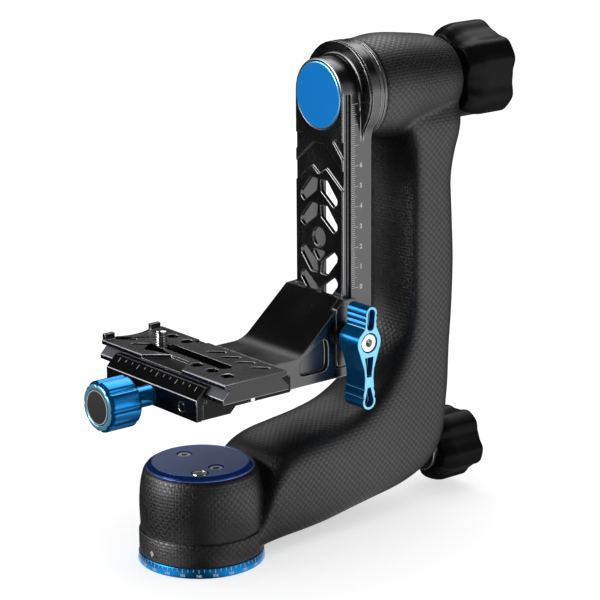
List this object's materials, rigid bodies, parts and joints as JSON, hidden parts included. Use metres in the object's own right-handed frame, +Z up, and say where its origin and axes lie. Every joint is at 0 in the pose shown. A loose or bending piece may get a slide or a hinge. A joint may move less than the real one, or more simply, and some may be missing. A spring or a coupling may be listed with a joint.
{
  "type": "gimbal tripod head",
  "caption": "Side-mount gimbal head with a panning base, a moulded C-shaped arm, a hanging swing arm, a sliding bracket and a quick-release clamp for a long lens.",
  "frame": {"origin": "centre of the tripod socket on the underside of the base, on the pan axis", "axes": "+Z up along the pan axis; +Y from the pan axis to the arm's elbow, parallel to the tilt axis; +X the way the lens looks"},
  "size_m": [0.0968, 0.2412, 0.2408],
  "materials": {
    "blue_anodised": "bright blue anodised, satin to glossy",
    "black_anodised": "black anodised, fine satin",
    "navy_anodised": "dark blue anodised, satin",
    "carbon_moulding": "woven carbon fibre under a satin resin",
    "grip_rubber": "smooth black rubber",
    "plain_aluminium": "turned, bare",
    "brass": "turned",
    "friction_polymer": "matt",
    "level_glass": "clear vial over yellow-green liquid",
    "bright_steel": "bright stainless steel"
  },
  "bodies": {
    "base": {"panning_base": "blue_anodised", "pan_spindle": "plain_aluminium", "spindle_nut": "bright_steel", "base_screw_1": "bright_steel", "base_screw_2": "bright_steel", "base_screw_3": "bright_steel"},
    "arm": {"arm_shell": "carbon_moulding", "drum_sleeve": "plain_aluminium", "pan_bearing_lower": "bright_steel", "pan_bearing_upper": "bright_steel", "drum_cap": "navy_anodised", "cap_screw_1": "bright_steel", "cap_screw_2": "bright_steel", "bubble_level": "bright_steel", "bubble_vial": "level_glass", "pan_brake_shoe": "brass", "pan_lock_bush": "black_anodised", "tilt_sleeve": "plain_aluminium", "tilt_bearing_front": "bright_steel", "tilt_bearing_rear": "bright_steel", "tilt_end_ring": "black_anodised"},
    "pan_lock": {"pan_knob": "grip_rubber", "pan_lock_rod": "bright_steel"},
    "tilt_lock": {"tilt_knob": "grip_rubber", "tilt_knob_bush": "brass", "tilt_washer": "bright_steel"},
    "swing_arm": {"swing_plate": "black_anodised", "hub_disc": "blue_anodised", "tilt_shaft": "bright_steel", "tilt_friction_disc": "friction_polymer", "rail_stop_screw": "bright_steel"},
    "bracket_and_clamp": {"bracket": "black_anodised", "clamp_base": "black_anodised", "clamp_screw_1": "bright_steel", "clamp_screw_2": "bright_steel"},
    "bracket_jaw": {"bracket_cheek": "black_anodised", "lever_collar": "black_anodised"},
    "lever": {"bracket_lever": "blue_anodised", "lever_screw": "bright_steel"},
    "front_jaw": {"front_jaw": "black_anodised", "guide_pin_1": "bright_steel", "guide_pin_2": "bright_steel"},
    "clamp_knob": {"clamp_knob": "blue_anodised", "clamp_knob_cap": "black_anodised", "clamp_knob_collar": "blue_anodised", "clamp_draw_screw": "bright_steel"},
    "lens_plate": {"lens_plate": "black_anodised", "plate_stop_1": "bright_steel", "plate_stop_2": "bright_steel"},
    "screw_retainer": {"screw_retainer": "bright_steel"},
    "camera_screw": {"camera_screw": "bright_steel"}
  },
  "joints": [
    {"name": "pan", "type": "hinge", "parent": "base", "child": "arm", "pos_m": [0, 0, 0], "axis": [0, 0, 1], "continuous": true},
    {"name": "pan_lock_turn", "type": "hinge", "parent": "arm", "child": "pan_lock", "pos_m": [0, 0.1428, 0.0229], "axis": [0, 1, 0], "range_deg": [0, 360]},
    {"name": "tilt_lock_turn", "type": "hinge", "parent": "arm", "child": "tilt_lock", "pos_m": [0, 0.1515, 0.2153], "axis": [0, 1, 0], "range_deg": [0, 360]},
    {"name": "tilt", "type": "hinge", "parent": "arm", "child": "swing_arm", "pos_m": [0, 0.0921, 0.2153], "axis": [0, 1, 0], "continuous": true},
    {"name": "bracket_height", "type": "slide", "parent": "swing_arm", "child": "bracket_and_clamp", "axis": [0, 0, 1], "range_m": [0, 0.06]},
    {"name": "lever_turn", "type": "hinge", "parent": "bracket_jaw", "child": "lever", "pos_m": [0.022, 0.0708, 0.1021], "axis": [1, 0, 0], "range_deg": [0, 360]},
    {"name": "bracket_jaw_slide", "type": "slide", "parent": "bracket_and_clamp", "child": "bracket_jaw", "axis": [1, 0, 0], "range_m": [0, 0.0008]},
    {"name": "clamp_knob_turn", "type": "hinge", "parent": "front_jaw", "child": "clamp_knob", "pos_m": [0, -0.0406, 0.087], "axis": [0, -1, 0], "range_deg": [0, 720]},
    {"name": "front_jaw_slide", "type": "slide", "parent": "bracket_and_clamp", "child": "front_jaw", "axis": [0, -1, 0], "range_m": [0, 0.0025]},
    {"name": "plate_slide", "type": "slide", "parent": "bracket_and_clamp", "child": "lens_plate", "axis": [1, 0, 0], "range_m": [-0.0057, 0.0057]},
    {"name": "camera_screw_shift", "type": "slide", "parent": "lens_plate", "child": "screw_retainer", "axis": [1, 0, 0], "range_m": [0, 0.0496]},
    {"name": "camera_screw_turn", "type": "hinge", "parent": "screw_retainer", "child": "camera_screw", "pos_m": [-0.0248, -0.0034, 0.1015], "axis": [0, 0, 1], "continuous": true}
  ],
  "couplings": [
    {"joint": "bracket_jaw_slide", "follows": "lever_turn", "m_per_rad": 0.00012732},
    {"joint": "clamp_knob_turn", "follows": "front_jaw_slide", "rad_per_m": 5026.5}
  ]
}
